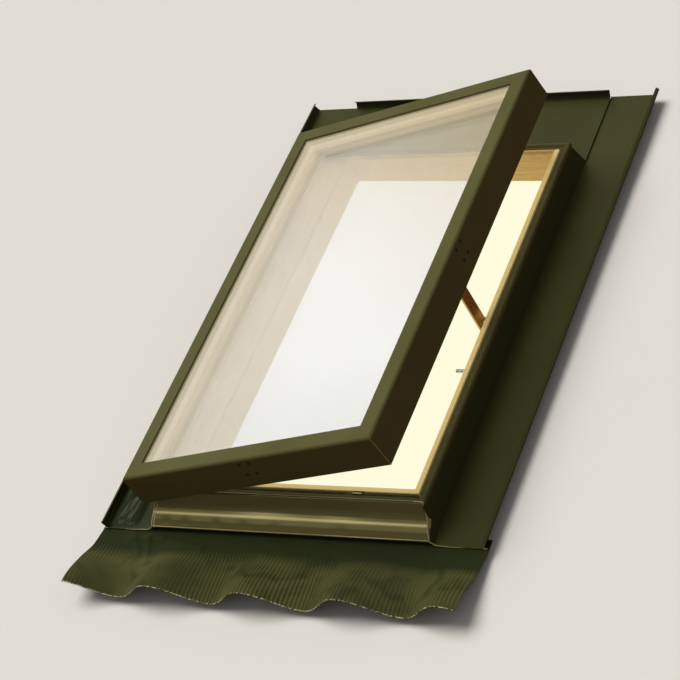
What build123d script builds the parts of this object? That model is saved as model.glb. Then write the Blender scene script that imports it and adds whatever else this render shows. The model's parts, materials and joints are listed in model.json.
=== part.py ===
from build123d import *
import os
from math import asin, atan2, cos, degrees, floor, hypot, pi, radians, sin

# Roof skylight with a side-hung sash, timber frame and flashing, in millimetres.
# X runs along the eave to the right, Y up the slope, Z square to the roof.
# The origin is the middle of the timber frame's plan, on its underside.

# Timber frame
FRAME_W = 449.0            # outside width over the covers
FRAME_L = 732.0            # outside length over the covers
FRAME_H = 64.0             # crest of the covers above the underside
COVER_STAND = 2.0          # covers' edge line outside the timber
TIMBER_T = 18.0            # right, top and bottom timbers
POST_T = 57.0              # wide timber on the hinge side
STRIP_DROP = 1.0           # top of the bare inner strip, below the crest
LEDGE_W = 11.5             # rebate of the timber under the covers
STRIP_CHAMFER = 3.0
MITRE = 40.0               # longest reach of a mitred bar past its corner
CUT = 1.0                  # overshoot of holes through a wall

# Metal covers on the frame
SHEET = 0.8                # all folded sheet on the frame
FLANGE_DROP = 3.0          # top of the flat inner flange, below the crest
BEAD_IN = 6.5              # foot of the raised bead, inward of the edge line
BEAD_OUT = 1.5             # outermost point of the bead, outside the edge line
BEAD_TOP = 3.2             # width of the bead's crest
BEAD_R = 1.1
CAP_DROP = 8.0             # depth of the covers' outer drop

# Flashing
FLASH_FLANGE = 10.5        # flange of the flashing under the covers
WALL_IN = 0.4              # flashing wall outward of the edge line
WALL_STRAIGHT = 8.5        # upright top of the wall, below the crest
GUTTER_Z = 13.0            # gutter floor, upper face
GUTTER_FLARE = 9.5         # the side walls flare out by this much to the floor
GUTTER_SIDE = 95.5         # outer edge of the gutters outside the edge line
GUTTER_FRONT = 39.0        # front edge of the side gutters below the edge line
FLASH_REACH = 165.0        # apron and top plate past the edge lines
UPSTAND_W = 7.0
UPSTAND_H = 12.0
HEM_W = 5.0
TOP_Z = 16.0               # plate above the frame, upper face
TOP_FLARE = 10.6
HEM_R = 1.2
HEM_LIFT = 0.25
BEND_R = 1.5               # inner radius of the folds
FOLD_LIP = 0.5             # turned-up edge of the gutter beyond the wall

# Front moulding: distances from the edge line, with drops below the crest
# for its shoulder and heights above the gutter floor for the rest
MOULD_SHOULDER = (7.4, 4.4)
MOULD_BELLY = (10.4, 30.0)
MOULD_NECK = (8.8, 21.0)
MOULD_COVE = (19.7, 16.8)
MOULD_SLOPE = (32.0, 12.0)
MOULD_LIP = (37.3, 9.8)
MOULD_HEM = 3.4
MOULD_R = 2.4
SEAM_CLEAR = 0.1           # between the moulding's ends and the side walls

# Waved apron
APRON_T = 1.2
APRON_TUCK = 22.0          # upper edge of the apron below the edge line
APRON_BEND = 39.0          # the waves start here, below the edge line
WAVE_PITCH = 155.0
WAVE_CREST_X = -21.0
WAVE_HIGH = 34.0           # crest above the flat part at the lower edge
WAVE_LOW = 2.0             # valley above the flat part at the lower edge
WAVE_FALL = 0.64           # share of a pitch that falls from crest to valley
WAVE_STEPS = 12
WAVE_ROWS = 10

# Keeper on the lower cover
CLIP_X = 116.6
CLIP_W = 16.0
CLIP_D = 6.0
CLIP_H = 2.4
CLIP_R = 0.8
CLIP_GAP = 1.0

# Sash
SKIRT = 56.3
SASH_PAST_HINGE = 1.35     # left skirt outside the hinge axis
SASH_FREE_LAP = 10.65      # right skirt outside the frame's edge line
SASH_LOW = 17.9            # lower skirt outside it
SASH_HIGH = 4.3            # upper skirt outside it
SASH_RISE = 43.3           # upper face of the closed sash above the covers' crest
OPEN = 13.77               # opening angle at rest
CLAD_T = 2.0
FLANGE_T = 1.8
FLANGE_W = 26.85
CLAD_R = 2.4
GASKET_T = 1.7
GASKET_IN = 14.0
GASKET_SHOW = 0.5
PANE = 4.0
CAVITY = 16.0
GLASS_IN = 12.0
TAPE_T = 2.0
SPACER_W = 11.0
SPACER_SET = 1.0           # spacer and tape inside the panes' edges
SASH_TIMBER_IN = 2.3
HINGE_TIMBER_IN = 3.8
SASH_TIMBER_W = 31.0       # inner edge of the sash timber, from the skirt's outer face
UPSTAND_IN = 11.0
LEDGE_T = 8.5
SEAL_W = 6.0
SEAL_OUT = 1.5             # seal outside the covers' edge line
SEAL_GAP = 0.3
SEAL_R = 12.0
HOLE_R = 2.25
HOLE_SPAN = 18.0
HOLE_DEPTH = 22.0
HOLE_DROP = 21.3

# Hinges
HINGE_CLEAR = 1.427        # barrel outside the flared wall
HINGE_DROP = 30.3          # axis below the covers' crest
HINGE_SHARE = 0.273        # hinges from the middle, as a share of the frame's length
HINGE_L = 64.0
KNUCKLES = 3
KNUCKLE_GAP = 0.4
BARREL_R = 3.2
PIN_R = 1.5
PIN_CLEAR = 0.05
LEAF_T = 1.5
FRAME_LEAF_RISE = 4.3      # lower edge of the frame leaf above the axis
FRAME_LEAF_H = 16.5
SASH_LEAF_RISE = 61.3      # upper edge of the sash leaf above the axis
SASH_LEAF_CLEAR = 0.4
LEAF_SCREW_RISE = 9.25     # screws above the lower edge of the frame leaf

# Screws
SCREW_R = 1.75
HEAD_R = 3.2
HEAD_H = 1.5
SCREW_L = 18.0
SHANK_SIDES = 8            # shanks hidden in the wood are plain eight-sided bars
COACH_R = 2.2
HEX_R = 4.6
HEX_H = 2.6
SHORT_SCREW_L = 9.0
SCREW_SPREAD = 20.0

# Stay arm, its bracket and rivet on the sash, and the pegs of the frame
ARM_W = 22.0
ARM_T = 3.0
ARM_TAIL = 18.3            # free end past the notch
ARM_CLEAR = 3.63           # free end from the right timber at rest
ARM_DROP = 54.0            # rivet below the sash's upper face
ARM_Y = -2.2
ARM_SWING = 8.41           # swung down the slope at rest
ARM_END_R = 8.0
RIVET_R = 3.0
RIVET_HEAD_R = 5.0
RIVET_HEAD = 2.0
RUN_CLEAR = 0.08
SIDE_CLEAR = 0.3
PLATE_T = 2.0
BRACKET_L = 24.0
BRACKET_END = 18.9         # end of the bracket, inward of the right skirt
BRACKET_SCREW = 24.9
BRACKET_SPREAD = 8.0       # its screws from the rivet, along the slope
BRACKET_R = 8.0            # lower corners of the lug
BRACKET_BEND_R = 2.5
LUG_BELOW = 8.0
PEG_R = 3.0
NOTCH_S = 106.7            # notch from the rivet, along the arm
NOTCH_O = 4.0              # notch bottom from the middle line, towards the edge
NOTCH_R = 3.7
NOTCH_FLARE = 2.0
PEG_CLEAR = 1.0
PEG_CLOSED_PAST = 5.25     # peg's tip past the arm's middle plane
PEG_OPEN_PAST = 4.2
PEG_PLATE_R = 7.0
PEG_PLATE_T = 1.5
PEG_TANG_R = 2.5
PEG_TANG = 12.0

# Mounting angles
ANGLE_L = 60.0
ANGLE_T = 2.0
ANGLE_H = 30.0
ANGLE_FOOT = 40.0
ANGLE_SHARE = 0.396        # angles from the middle, as a share of the frame's length
ANGLE_R = 6.0              # corners of the foot
ANGLE_SCREW_Z = 18.0
ANGLE_HOLE_R = 2.5
ANGLE_HOLE_OUT = 26.0      # holes of the foot, outside the timber
ANGLE_SPREAD = 30.0

# Derived places
EDGE_X = FRAME_W / 2
EDGE_Y = FRAME_L / 2
TIMBER_X = EDGE_X - COVER_STAND
TIMBER_Y = EDGE_Y - COVER_STAND
INNER_X = TIMBER_X - TIMBER_T
INNER_Y = TIMBER_Y - TIMBER_T
STRIP_Z = FRAME_H - STRIP_DROP
CAP_FLANGE_Z = FRAME_H - FLANGE_DROP
FLASH_Z = CAP_FLANGE_Z - SHEET
REBATE_Z = FLASH_Z - SHEET
WALL_TOP_X = EDGE_X + WALL_IN
WALL_TOP_Y = EDGE_Y + WALL_IN
WALL_BEND_Z = FRAME_H - WALL_STRAIGHT
WALL_SLOPE = GUTTER_FLARE / (WALL_BEND_Z - GUTTER_Z)
FLASH_HALF_W = EDGE_X + GUTTER_SIDE
FLASH_HALF_L = EDGE_Y + FLASH_REACH
GUTTER_END = EDGE_Y + GUTTER_FRONT
APRON_TOP = EDGE_Y + APRON_TUCK
APRON_START = EDGE_Y + APRON_BEND
HINGE_Z = FRAME_H - HINGE_DROP
HINGE_WALL = WALL_TOP_X + (WALL_BEND_Z - HINGE_Z) * WALL_SLOPE
HINGE_X = -HINGE_WALL - BARREL_R - HINGE_CLEAR
SASH_X0 = HINGE_X - SASH_PAST_HINGE
SASH_X1 = EDGE_X + SASH_FREE_LAP
SASH_Y0 = -EDGE_Y - SASH_LOW
SASH_Y1 = EDGE_Y + SASH_HIGH
SASH_TOP = FRAME_H + SASH_RISE
HINGE_Y = FRAME_L * HINGE_SHARE
FRAME_LEAF_LOW = HINGE_Z + FRAME_LEAF_RISE
FRAME_LEAF_TOP = FRAME_LEAF_LOW + FRAME_LEAF_H
SASH_LEAF_TOP = HINGE_Z + SASH_LEAF_RISE
ANGLE_Y = FRAME_L * ANGLE_SHARE
GLASS_TOP = SASH_TOP - FLANGE_T - GASKET_T
INNER_PANE_TOP = GLASS_TOP - PANE - CAVITY
LEDGE_TOP = INNER_PANE_TOP - PANE - TAPE_T
LEDGE_LOW = LEDGE_TOP - LEDGE_T
ARM_L = NOTCH_S + ARM_TAIL
PIVOT_Z = SASH_TOP - ARM_DROP
ARM_HANG = ARM_L * cos(radians(ARM_SWING)) + HINGE_Z - PIVOT_Z
ARM_SPAN = INNER_X - ARM_CLEAR - HINGE_X - ARM_HANG * sin(radians(OPEN))
PIVOT_X = HINGE_X + ARM_SPAN / cos(radians(OPEN))
PEG_ARM = hypot(NOTCH_S, NOTCH_O)
REACH = 2 * FRAME_L

HOLED_SIDES = ("right", "bottom")
SIDES = {"right": (-1, 0), "bottom": (0, 1), "left": (1, 0), "top": (0, -1)}
FRAME_BOX = (-EDGE_X, EDGE_X, -EDGE_Y, EDGE_Y)
SASH_BOX = (SASH_X0, SASH_X1, SASH_Y0, SASH_Y1)
HINGE_AXIS = Axis((HINGE_X, 0, HINGE_Z), (0, -1, 0))
ARM_AXIS = Axis((PIVOT_X, ARM_Y, PIVOT_Z), (-1, 0, 0))


def save(shape, name):
    export_step(shape, "parts/" + name + ".step")


def outline(points):
    """Closed face with straight edges."""
    return make_face(Polyline(*points, close=True))


def sheet(path, thickness, radius):
    """Section of a folded sheet: path is its outer face, the metal lies to its right."""
    steps = [(Vector(*end) - Vector(*start)).normalized() for start, end in zip(path, path[1:])]
    rights = [Vector(step.Y, -step.X) for step in steps]
    back = [Vector(*path[0]) + rights[0] * thickness]
    outer_radii = []
    inner_radii = []
    for corner, before, after in zip(path[1:-1], range(len(steps)), range(1, len(steps))):
        shared = rights[before] + rights[after]
        back.append(Vector(*corner) + shared * (thickness / (1 + rights[before].dot(rights[after]))))
        turns_left = steps[before].cross(steps[after]).Z > 0
        outer_radii.append(radius if turns_left else radius + thickness)
        inner_radii.append(radius + thickness if turns_left else radius)
    back.append(Vector(*path[-1]) + rights[-1] * thickness)
    face = FilletPolyline(*path, radius=outer_radii)
    rear = FilletPolyline(*back, radius=inner_radii)
    ends = Line(path[0], back[0]) + Line(path[-1], back[-1])
    return make_face(face.edges() + rear.edges() + ends.edges())


def along_y(face, low, high):
    """Push a section drawn in X and Z from one Y to another."""
    return extrude(Plane.XZ.offset(-high) * face, amount=high - low, dir=(0, -1, 0))


def along_x(face, low, high):
    """Push a section drawn in Y and Z from one X to another."""
    return extrude(Plane.YZ.offset(low) * face, amount=high - low, dir=(1, 0, 0))


def box(x, y, z):
    """Block between pairs of limits."""
    block = Box(x[1] - x[0], y[1] - y[0], z[1] - z[0])
    return Pos((x[0] + x[1]) / 2, (y[0] + y[1]) / 2, (z[0] + z[1]) / 2) * block


def side_plane(side, limits):
    """Plane at the middle of one side of a rectangle: x points inward, y up."""
    x0, x1, y0, y1 = limits
    inward = SIDES[side]
    middle = ((x0 + x1) / 2, (y0 + y1) / 2)
    half = ((x1 - x0) / 2, (y1 - y0) / 2)
    origin = (middle[0] - inward[0] * half[0], middle[1] - inward[1] * half[1], 0)
    return Plane(origin=origin, x_dir=(inward[0], inward[1], 0), z_dir=(inward[1], -inward[0], 0))


def side_length(side, limits):
    x0, x1, y0, y1 = limits
    return y1 - y0 if side in ("left", "right") else x1 - x0


def side_bar(face, side, limits, ends=0.0):
    """Square-ended bar along one side of a rectangle; face is drawn inward and up."""
    plane = side_plane(side, limits)
    half = side_length(side, limits) / 2 - ends
    return extrude(plane.offset(-half) * face, amount=2 * half, dir=plane.z_dir)


def mitred_bar(face, side, limits):
    """Bar along one side of a rectangle, cut at 45 degrees at both ends."""
    bar = side_bar(face, side, limits, -MITRE)
    half = side_length(side, limits) / 2
    wedge = outline([(-MITRE, -half - MITRE), (-MITRE, half + MITRE),
                     (2 * MITRE, half - 2 * MITRE), (2 * MITRE, 2 * MITRE - half)])
    plane = side_plane(side, limits)
    plan = Plane(origin=plane.origin, x_dir=plane.x_dir, z_dir=(0, 0, 1))
    return bar & extrude(plan * wedge, amount=REACH, both=True)


def flat_ring(limits, inset, width, low, high, radius=0.0):
    """Rectangular ring, its outer edge inset from the limits."""
    x0, x1, y0, y1 = limits
    centre = Pos((x0 + x1) / 2, (y0 + y1) / 2, low)
    outer = Rectangle(x1 - x0 - 2 * inset, y1 - y0 - 2 * inset)
    inner = Rectangle(x1 - x0 - 2 * (inset + width), y1 - y0 - 2 * (inset + width))
    if radius > width:
        outer = fillet(outer.vertices(), radius)
        inner = fillet(inner.vertices(), radius - width)
    return extrude(centre * (outer - inner), amount=high - low)


def opened(shape):
    """Carry a piece of the closed sash to the rest pose."""
    return shape.rotate(HINGE_AXIS, OPEN)


def rod(start, direction, radius, length):
    """Cylinder from a point along a direction."""
    return extrude(Plane(origin=start, z_dir=direction) * Circle(radius), amount=length)


def shank(start, direction, radius, length):
    """Plain bar of a screw or tang, hidden in the wood."""
    section = RegularPolygon(radius, SHANK_SIDES)
    return extrude(Plane(origin=start, z_dir=direction) * section, amount=length)


def pan_screw(start, direction, length=SCREW_L):
    """Screw with a flat head outside the start point."""
    back = tuple(-value for value in direction)
    return shank(start, direction, SCREW_R, length) + rod(start, back, HEAD_R, HEAD_H)


def hex_screw(start, direction):
    """Coach screw with a six-sided head outside the start point."""
    back = tuple(-value for value in direction)
    head = extrude(Plane(origin=start, z_dir=back) * RegularPolygon(HEX_R, 6), amount=HEX_H)
    return shank(start, direction, COACH_R, SCREW_L) + head


def flush_screw(start, direction):
    """Countersunk screw hidden behind the skirt, its head level with the start point."""
    face = Plane(origin=start, z_dir=direction)
    head = loft([face * RegularPolygon(HEAD_R, SHANK_SIDES),
                 face.offset(LEAF_T) * RegularPolygon(SCREW_R, SHANK_SIDES)])
    return shank(start, direction, SCREW_R, SCREW_L) + head


def mirrored(shape):
    return mirror(shape, about=Plane.YZ)


# Timber frame

def timber_section(width):
    """Timber with a rebate under the covers and a bare strip inside it."""
    return outline([(COVER_STAND, 0), (COVER_STAND + width, 0),
                    (COVER_STAND + width, STRIP_Z - STRIP_CHAMFER),
                    (COVER_STAND + width - STRIP_CHAMFER, STRIP_Z),
                    (COVER_STAND + LEDGE_W, STRIP_Z), (COVER_STAND + LEDGE_W, REBATE_Z),
                    (COVER_STAND, REBATE_Z)])


def frame_timbers():
    """Long side timbers, with the head and sill timbers between them."""
    left = side_bar(timber_section(POST_T), "left", FRAME_BOX, COVER_STAND)
    right = side_bar(timber_section(TIMBER_T), "right", FRAME_BOX, COVER_STAND)
    between = box((-TIMBER_X + POST_T, INNER_X), (-TIMBER_Y, TIMBER_Y), (0, FRAME_H))
    top = side_bar(timber_section(TIMBER_T), "top", FRAME_BOX, COVER_STAND) & between
    bottom = side_bar(timber_section(TIMBER_T), "bottom", FRAME_BOX, COVER_STAND) & between
    strip = TIMBER_Y - LEDGE_W
    cut_height = (REBATE_Z, FRAME_H)
    for sign in (-1, 1):
        span = sorted((sign * strip, sign * REACH))
        left -= box((-REACH, REACH), span, cut_height)
        right -= box((-REACH, REACH), span, cut_height)
    return {"left": left, "right": right, "top": top, "bottom": bottom}


# Covers

def cap_section(inner, drop):
    """Flat flange, raised bead and outer drop, drawn inward and up."""
    path = [(inner, CAP_FLANGE_Z), (BEAD_IN, CAP_FLANGE_Z),
            (BEAD_TOP + WALL_IN, FRAME_H), (WALL_IN, FRAME_H),
            (-BEAD_OUT, FRAME_H - BEAD_OUT), (-BEAD_OUT, drop)]
    path = [(-x, z) for x, z in path]
    face = sheet(path, SHEET, BEAD_R)
    return mirror(face, about=Plane.YZ)


def caps():
    bars = {}
    for side in SIDES:
        drop = CAP_FLANGE_Z if side == "bottom" else FRAME_H - CAP_DROP
        bars[side] = mitred_bar(cap_section(COVER_STAND + LEDGE_W, drop), side, FRAME_BOX)
    return bars


def cap_clip():
    """Small keeper on the flange of the lower cover."""
    low = -EDGE_Y + BEAD_IN + CLIP_GAP
    block = box((CLIP_X - CLIP_W / 2, CLIP_X + CLIP_W / 2), (low, low + CLIP_D),
                (CAP_FLANGE_Z, CAP_FLANGE_Z + CLIP_H))
    return fillet(block.edges().filter_by(Axis.X).group_by(Axis.Z)[-1], CLIP_R)


# Flashing

def side_path():
    edge = FLASH_HALF_W
    return [(EDGE_X - FLASH_FLANGE, FLASH_Z), (WALL_TOP_X, FLASH_Z),
            (WALL_TOP_X, WALL_BEND_Z), (WALL_TOP_X + GUTTER_FLARE, GUTTER_Z),
            (edge - UPSTAND_W - SHEET, GUTTER_Z), (edge - SHEET, GUTTER_Z + UPSTAND_H),
            (edge - SHEET - HEM_W, GUTTER_Z + UPSTAND_H + HEM_W / 2)]


def corner_cut():
    """Upright wedge beyond the mitre between the side wall and the upper wall."""
    reach = BEAD_IN * GUTTER_FLARE
    rise = reach * TOP_FLARE / GUTTER_FLARE
    near = (WALL_TOP_X - reach, WALL_TOP_Y - rise)
    far = (WALL_TOP_X + reach, WALL_TOP_Y + rise)
    prism = extrude(Pos(0, 0, GUTTER_Z + FOLD_LIP) * outline([near, far, (near[0], REACH)]), amount=FRAME_H)
    return prism + box((0, far[0]), (far[1], REACH), (GUTTER_Z + FOLD_LIP, GUTTER_Z + FRAME_H))


def moulding_path():
    points = [(WALL_IN, FLASH_Z), (MOULD_SHOULDER[0], FRAME_H - MOULD_SHOULDER[1])]
    for out, rise in (MOULD_BELLY, MOULD_NECK, MOULD_COVE, MOULD_SLOPE, MOULD_LIP):
        points.append((out, GUTTER_Z + rise))
    points.append((MOULD_LIP[0], GUTTER_Z + MOULD_LIP[1] - MOULD_HEM))
    return [(-EDGE_Y - out, z) for out, z in points]


def side_wall_prism():
    """Everything behind the front moulding's outer face, as a block along X."""
    points = moulding_path()
    back = -EDGE_Y + FLASH_FLANGE
    section = outline(points + [(points[-1][0], 0), (back, 0), (back, points[0][1])])
    return along_x(section, -REACH, REACH)


def flashing_side():
    """Flared wall, gutter floor and turned outer edge of the right-hand side."""
    body = along_y(sheet(side_path(), SHEET, BEND_R), -GUTTER_END, FLASH_HALF_L)
    fold_z = (GUTTER_Z + FOLD_LIP, FRAME_H)
    bend = WALL_TOP_X + GUTTER_FLARE + BEND_R + SHEET
    body -= box((0, bend), (-REACH, -EDGE_Y), fold_z) - side_wall_prism()
    body -= corner_cut() & box((0, bend), (0, REACH), fold_z)
    for span in ((-REACH, -INNER_Y), (INNER_Y, REACH)):
        body -= box((0, WALL_TOP_X - SHEET), span, (WALL_BEND_Z, FRAME_H))
    hem_z = GUTTER_Z - SHEET + HEM_R + HEM_LIFT
    hem = rod((WALL_TOP_X + GUTTER_FLARE, -GUTTER_END, hem_z), (1, 0, 0), HEM_R,
              FLASH_HALF_W - UPSTAND_W - SHEET - WALL_TOP_X - GUTTER_FLARE)
    return body + hem


def flashing_top():
    """Flared wall behind the frame and the plate above it, with an upper hem."""
    path = [(-(EDGE_Y - FLASH_FLANGE), FLASH_Z), (-WALL_TOP_Y, FLASH_Z), (-WALL_TOP_Y, WALL_BEND_Z),
            (-(WALL_TOP_Y + TOP_FLARE), TOP_Z), (-(FLASH_HALF_L - UPSTAND_W), TOP_Z),
            (-(FLASH_HALF_L - SHEET), TOP_Z + UPSTAND_H),
            (-(FLASH_HALF_L - SHEET - HEM_W), TOP_Z + UPSTAND_H + HEM_W / 2)]
    mirrored_path = [(-y, z) for y, z in path]
    section = sheet(mirrored_path, SHEET, BEND_R)
    half = WALL_TOP_X + GUTTER_FLARE
    body = along_x(section, -half, half)
    keep = body & box((-half, half), (WALL_TOP_Y + TOP_FLARE, REACH), (0, FRAME_H))
    wall = body & box((-half, half), (0, WALL_TOP_Y + TOP_FLARE), (0, FRAME_H))
    side_profile = outline([(WALL_TOP_X - SHEET, FRAME_H), (WALL_TOP_X - SHEET, WALL_BEND_Z),
                            (WALL_TOP_X + GUTTER_FLARE - SHEET, GUTTER_Z), (-half, 0), (-half, FRAME_H)])
    wall &= along_y(side_profile, 0, REACH) & mirrored(along_y(side_profile, 0, REACH))
    flange = EDGE_X - FLASH_FLANGE - SIDE_CLEAR
    for sign in (-1, 1):
        side = sorted((sign * flange, sign * REACH))
        wall -= box(side, (0, TIMBER_Y), (0, FRAME_H))
    edges = Part()
    for sign in (-1, 1):
        side = sorted((sign * half, sign * (half - SHEET)))
        edges += box(side, (WALL_TOP_Y + TOP_FLARE, FLASH_HALF_L - UPSTAND_W), (GUTTER_Z + FOLD_LIP, TOP_Z))
    return keep + wall + edges


def moulding_front():
    """Pressed moulding below the frame, its ends cut to the flare of the side walls."""
    path = [(-EDGE_Y + FLASH_FLANGE, FLASH_Z)] + moulding_path()
    path = [(-y, z) for y, z in path]
    section = mirror(sheet(path, SHEET, MOULD_R), about=Plane.YZ)
    half = WALL_TOP_X + GUTTER_FLARE
    body = along_x(section, -half, half)
    wall = SHEET * hypot(1, WALL_SLOPE) + SEAM_CLEAR
    inside = outline([(0, GUTTER_Z), (WALL_TOP_X + GUTTER_FLARE - wall, GUTTER_Z),
                      (WALL_TOP_X - wall, WALL_BEND_Z), (WALL_TOP_X - wall, FRAME_H), (0, FRAME_H)])
    prism = along_y(inside, -REACH, 0)
    prism += mirrored(prism)
    body &= prism
    flange = EDGE_X - FLASH_FLANGE - SIDE_CLEAR
    for sign in (-1, 1):
        side = sorted((sign * flange, sign * REACH))
        body -= box(side, (-TIMBER_Y, 0), (0, FRAME_H))
    return body


def wave(x):
    """Tile wave from 0 in the valley to 1 on the crest."""
    phase = (x - WAVE_CREST_X) / WAVE_PITCH
    phase -= floor(phase)
    if phase < WAVE_FALL:
        return 0.5 + 0.5 * cos(pi * phase / WAVE_FALL)
    return 0.5 - 0.5 * cos(pi * (phase - WAVE_FALL) / (1 - WAVE_FALL))


def apron_height(x, y):
    """Upper face of the apron: flat under the moulding, waved at its lower edge."""
    flat = GUTTER_Z - SHEET
    share = min(max((-APRON_START - y) / (FLASH_HALF_L - APRON_START), 0.0), 1.0)
    share = share * share * (3 - 2 * share)
    return flat + share * (WAVE_LOW + (WAVE_HIGH - WAVE_LOW) * wave(x))


def apron():
    """Soft sheet dressed over the tile row below."""
    columns = int(2 * FLASH_HALF_W / WAVE_PITCH * WAVE_STEPS)
    grid = []
    for row in range(WAVE_ROWS + 1):
        y = -FLASH_HALF_L + (FLASH_HALF_L - APRON_START) * row / WAVE_ROWS
        line = []
        for column in range(columns + 1):
            x = -FLASH_HALF_W + 2 * FLASH_HALF_W * column / columns
            line.append((x, y, apron_height(x, y) - APRON_T))
        grid.append(line)
    skin = Face.make_surface_from_array_of_points(grid)
    waved = extrude(skin, amount=APRON_T, dir=(0, 0, 1))
    flat_z = (GUTTER_Z - SHEET - APRON_T, GUTTER_Z - SHEET)
    flat = box((-FLASH_HALF_W, FLASH_HALF_W), (-APRON_START, -APRON_TOP), flat_z)
    return waved + flat


# Sash

def clad_section():
    """Flange over the glass and skirt outside, drawn inward and down from the top."""
    path = [(0, -SKIRT), (0, 0), (FLANGE_W, 0)]
    outer = FilletPolyline(*path, radius=CLAD_R)
    body = make_face(Curve() + outer + Polyline((FLANGE_W, 0), (FLANGE_W, -FLANGE_T), (CLAD_T, -FLANGE_T),
                                                (CLAD_T, -SKIRT), (0, -SKIRT)))
    return Pos(0, SASH_TOP) * body


def hole_group(side):
    """Two by two small holes in the middle of one skirt."""
    plane = side_plane(side, SASH_BOX)
    face = Plane(origin=plane.origin, x_dir=plane.z_dir, z_dir=plane.x_dir)
    holes = Part()
    drop = SASH_TOP - HOLE_DROP
    sign = 1 if face.y_dir.Z > 0 else -1
    for across in (-HOLE_SPAN / 2, HOLE_SPAN / 2):
        for down in (-HOLE_DEPTH / 2, HOLE_DEPTH / 2):
            spot = face * Pos(across, sign * (drop + down), -CUT)
            holes += spot * extrude(Circle(HOLE_R), amount=CLAD_T + CUT)
    return holes


def sash_timber_section(start):
    return outline([(start, LEDGE_LOW), (SASH_TIMBER_W, LEDGE_LOW),
                    (SASH_TIMBER_W, LEDGE_TOP), (UPSTAND_IN, LEDGE_TOP),
                    (UPSTAND_IN, SASH_TOP - FLANGE_T), (start, SASH_TOP - FLANGE_T)])


def sash_pieces():
    pieces = {}
    for side in SIDES:
        bar = mitred_bar(clad_section(), side, SASH_BOX)
        pieces["sash_cladding_" + side] = bar - hole_group(side) if side in HOLED_SIDES else bar
        start = HINGE_TIMBER_IN if side == "left" else SASH_TIMBER_IN
        pieces["sash_timber_" + side] = mitred_bar(sash_timber_section(start), side, SASH_BOX)
    inner = FLANGE_W + GASKET_SHOW - GASKET_IN
    pieces["gasket"] = flat_ring(SASH_BOX, GASKET_IN, inner, GLASS_TOP, GLASS_TOP + GASKET_T)
    x0, x1, y0, y1 = SASH_BOX
    span_x = (x0 + GLASS_IN, x1 - GLASS_IN)
    span_y = (y0 + GLASS_IN, y1 - GLASS_IN)
    pieces["glass_outer"] = box(span_x, span_y, (GLASS_TOP - PANE, GLASS_TOP))
    pieces["glass_inner"] = box(span_x, span_y, (INNER_PANE_TOP - PANE, INNER_PANE_TOP))
    spacer_in = GLASS_IN + SPACER_SET
    pieces["spacer"] = flat_ring(SASH_BOX, spacer_in, SPACER_W, INNER_PANE_TOP, INNER_PANE_TOP + CAVITY)
    pieces["glazing_tape"] = flat_ring(SASH_BOX, spacer_in, SPACER_W, LEDGE_TOP, LEDGE_TOP + TAPE_T)
    pieces["seal"] = flat_ring(FRAME_BOX, -SEAL_OUT, SEAL_W, FRAME_H + SEAL_GAP, LEDGE_LOW, SEAL_R)
    return pieces


# Hinges

def wall_x(z):
    """Outer face of the left flashing wall at a height."""
    return -(WALL_TOP_X + (WALL_BEND_Z - z) * WALL_SLOPE)


def knuckle_spans(centre, first):
    """Y limits of every second knuckle."""
    pitch = HINGE_L / KNUCKLES
    spans = []
    for index in range(first, KNUCKLES, 2):
        low = centre - HINGE_L / 2 + index * pitch + KNUCKLE_GAP / 2
        spans.append((low, low + pitch - KNUCKLE_GAP))
    return spans


def frame_leaf(centre):
    """Leaf on the flared wall, with its knuckles."""
    plate = outline([(wall_x(FRAME_LEAF_TOP), FRAME_LEAF_TOP), (wall_x(FRAME_LEAF_TOP) - LEAF_T, FRAME_LEAF_TOP),
                     (wall_x(FRAME_LEAF_LOW) - LEAF_T, FRAME_LEAF_LOW), (wall_x(FRAME_LEAF_LOW), FRAME_LEAF_LOW)])
    leaf = along_y(plate, centre - HINGE_L / 2, centre + HINGE_L / 2)
    barrel = Pos(HINGE_X, HINGE_Z) * Circle(BARREL_R)
    neck_x = HINGE_X + BARREL_R / 3
    low_z = HINGE_Z - BARREL_R / 3
    neck = outline([(wall_x(FRAME_LEAF_LOW), FRAME_LEAF_LOW), (wall_x(FRAME_LEAF_LOW) - LEAF_T, FRAME_LEAF_LOW),
                    (neck_x, HINGE_Z + BARREL_R / 2), (neck_x, low_z), (wall_x(low_z), low_z)])
    for low, high in knuckle_spans(centre, 0):
        leaf += along_y(barrel + neck, low, high)
    return leaf - along_y(Pos(HINGE_X, HINGE_Z) * Circle(PIN_R + PIN_CLEAR), -REACH, REACH)


def sash_leaf(centre):
    """Leaf between the left skirt and the sash timber, with its knuckles, in the closed pose."""
    right = SASH_X0 + HINGE_TIMBER_IN
    left = right - LEAF_T
    low_z = HINGE_Z + BARREL_R + SASH_LEAF_CLEAR
    leaf = box((left, right), (centre - HINGE_L / 2, centre + HINGE_L / 2), (low_z, SASH_LEAF_TOP))
    barrel = Pos(HINGE_X, HINGE_Z) * Circle(BARREL_R)
    neck = outline([(left, HINGE_Z), (right, HINGE_Z), (right, low_z), (left, low_z)])
    for low, high in knuckle_spans(centre, 1):
        leaf += along_y(barrel + neck, low, high)
    return leaf - along_y(Pos(HINGE_X, HINGE_Z) * Circle(PIN_R + PIN_CLEAR), -REACH, REACH)


def hinge_pin(centre):
    return rod((HINGE_X, centre - HINGE_L / 2, HINGE_Z), (0, 1, 0), PIN_R, HINGE_L)


def frame_leaf_screws():
    """Two screws through each frame leaf, square to the flared wall."""
    z = FRAME_LEAF_LOW + LEAF_SCREW_RISE
    slope = hypot(1, WALL_SLOPE)
    inward = (1 / slope, 0, -WALL_SLOPE / slope)
    x = wall_x(z) - LEAF_T * slope
    screws = []
    for centre in (-HINGE_Y, HINGE_Y):
        for offset_y in (-SCREW_SPREAD, SCREW_SPREAD):
            screws.append(pan_screw((x, centre + offset_y, z), inward))
    return screws


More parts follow.
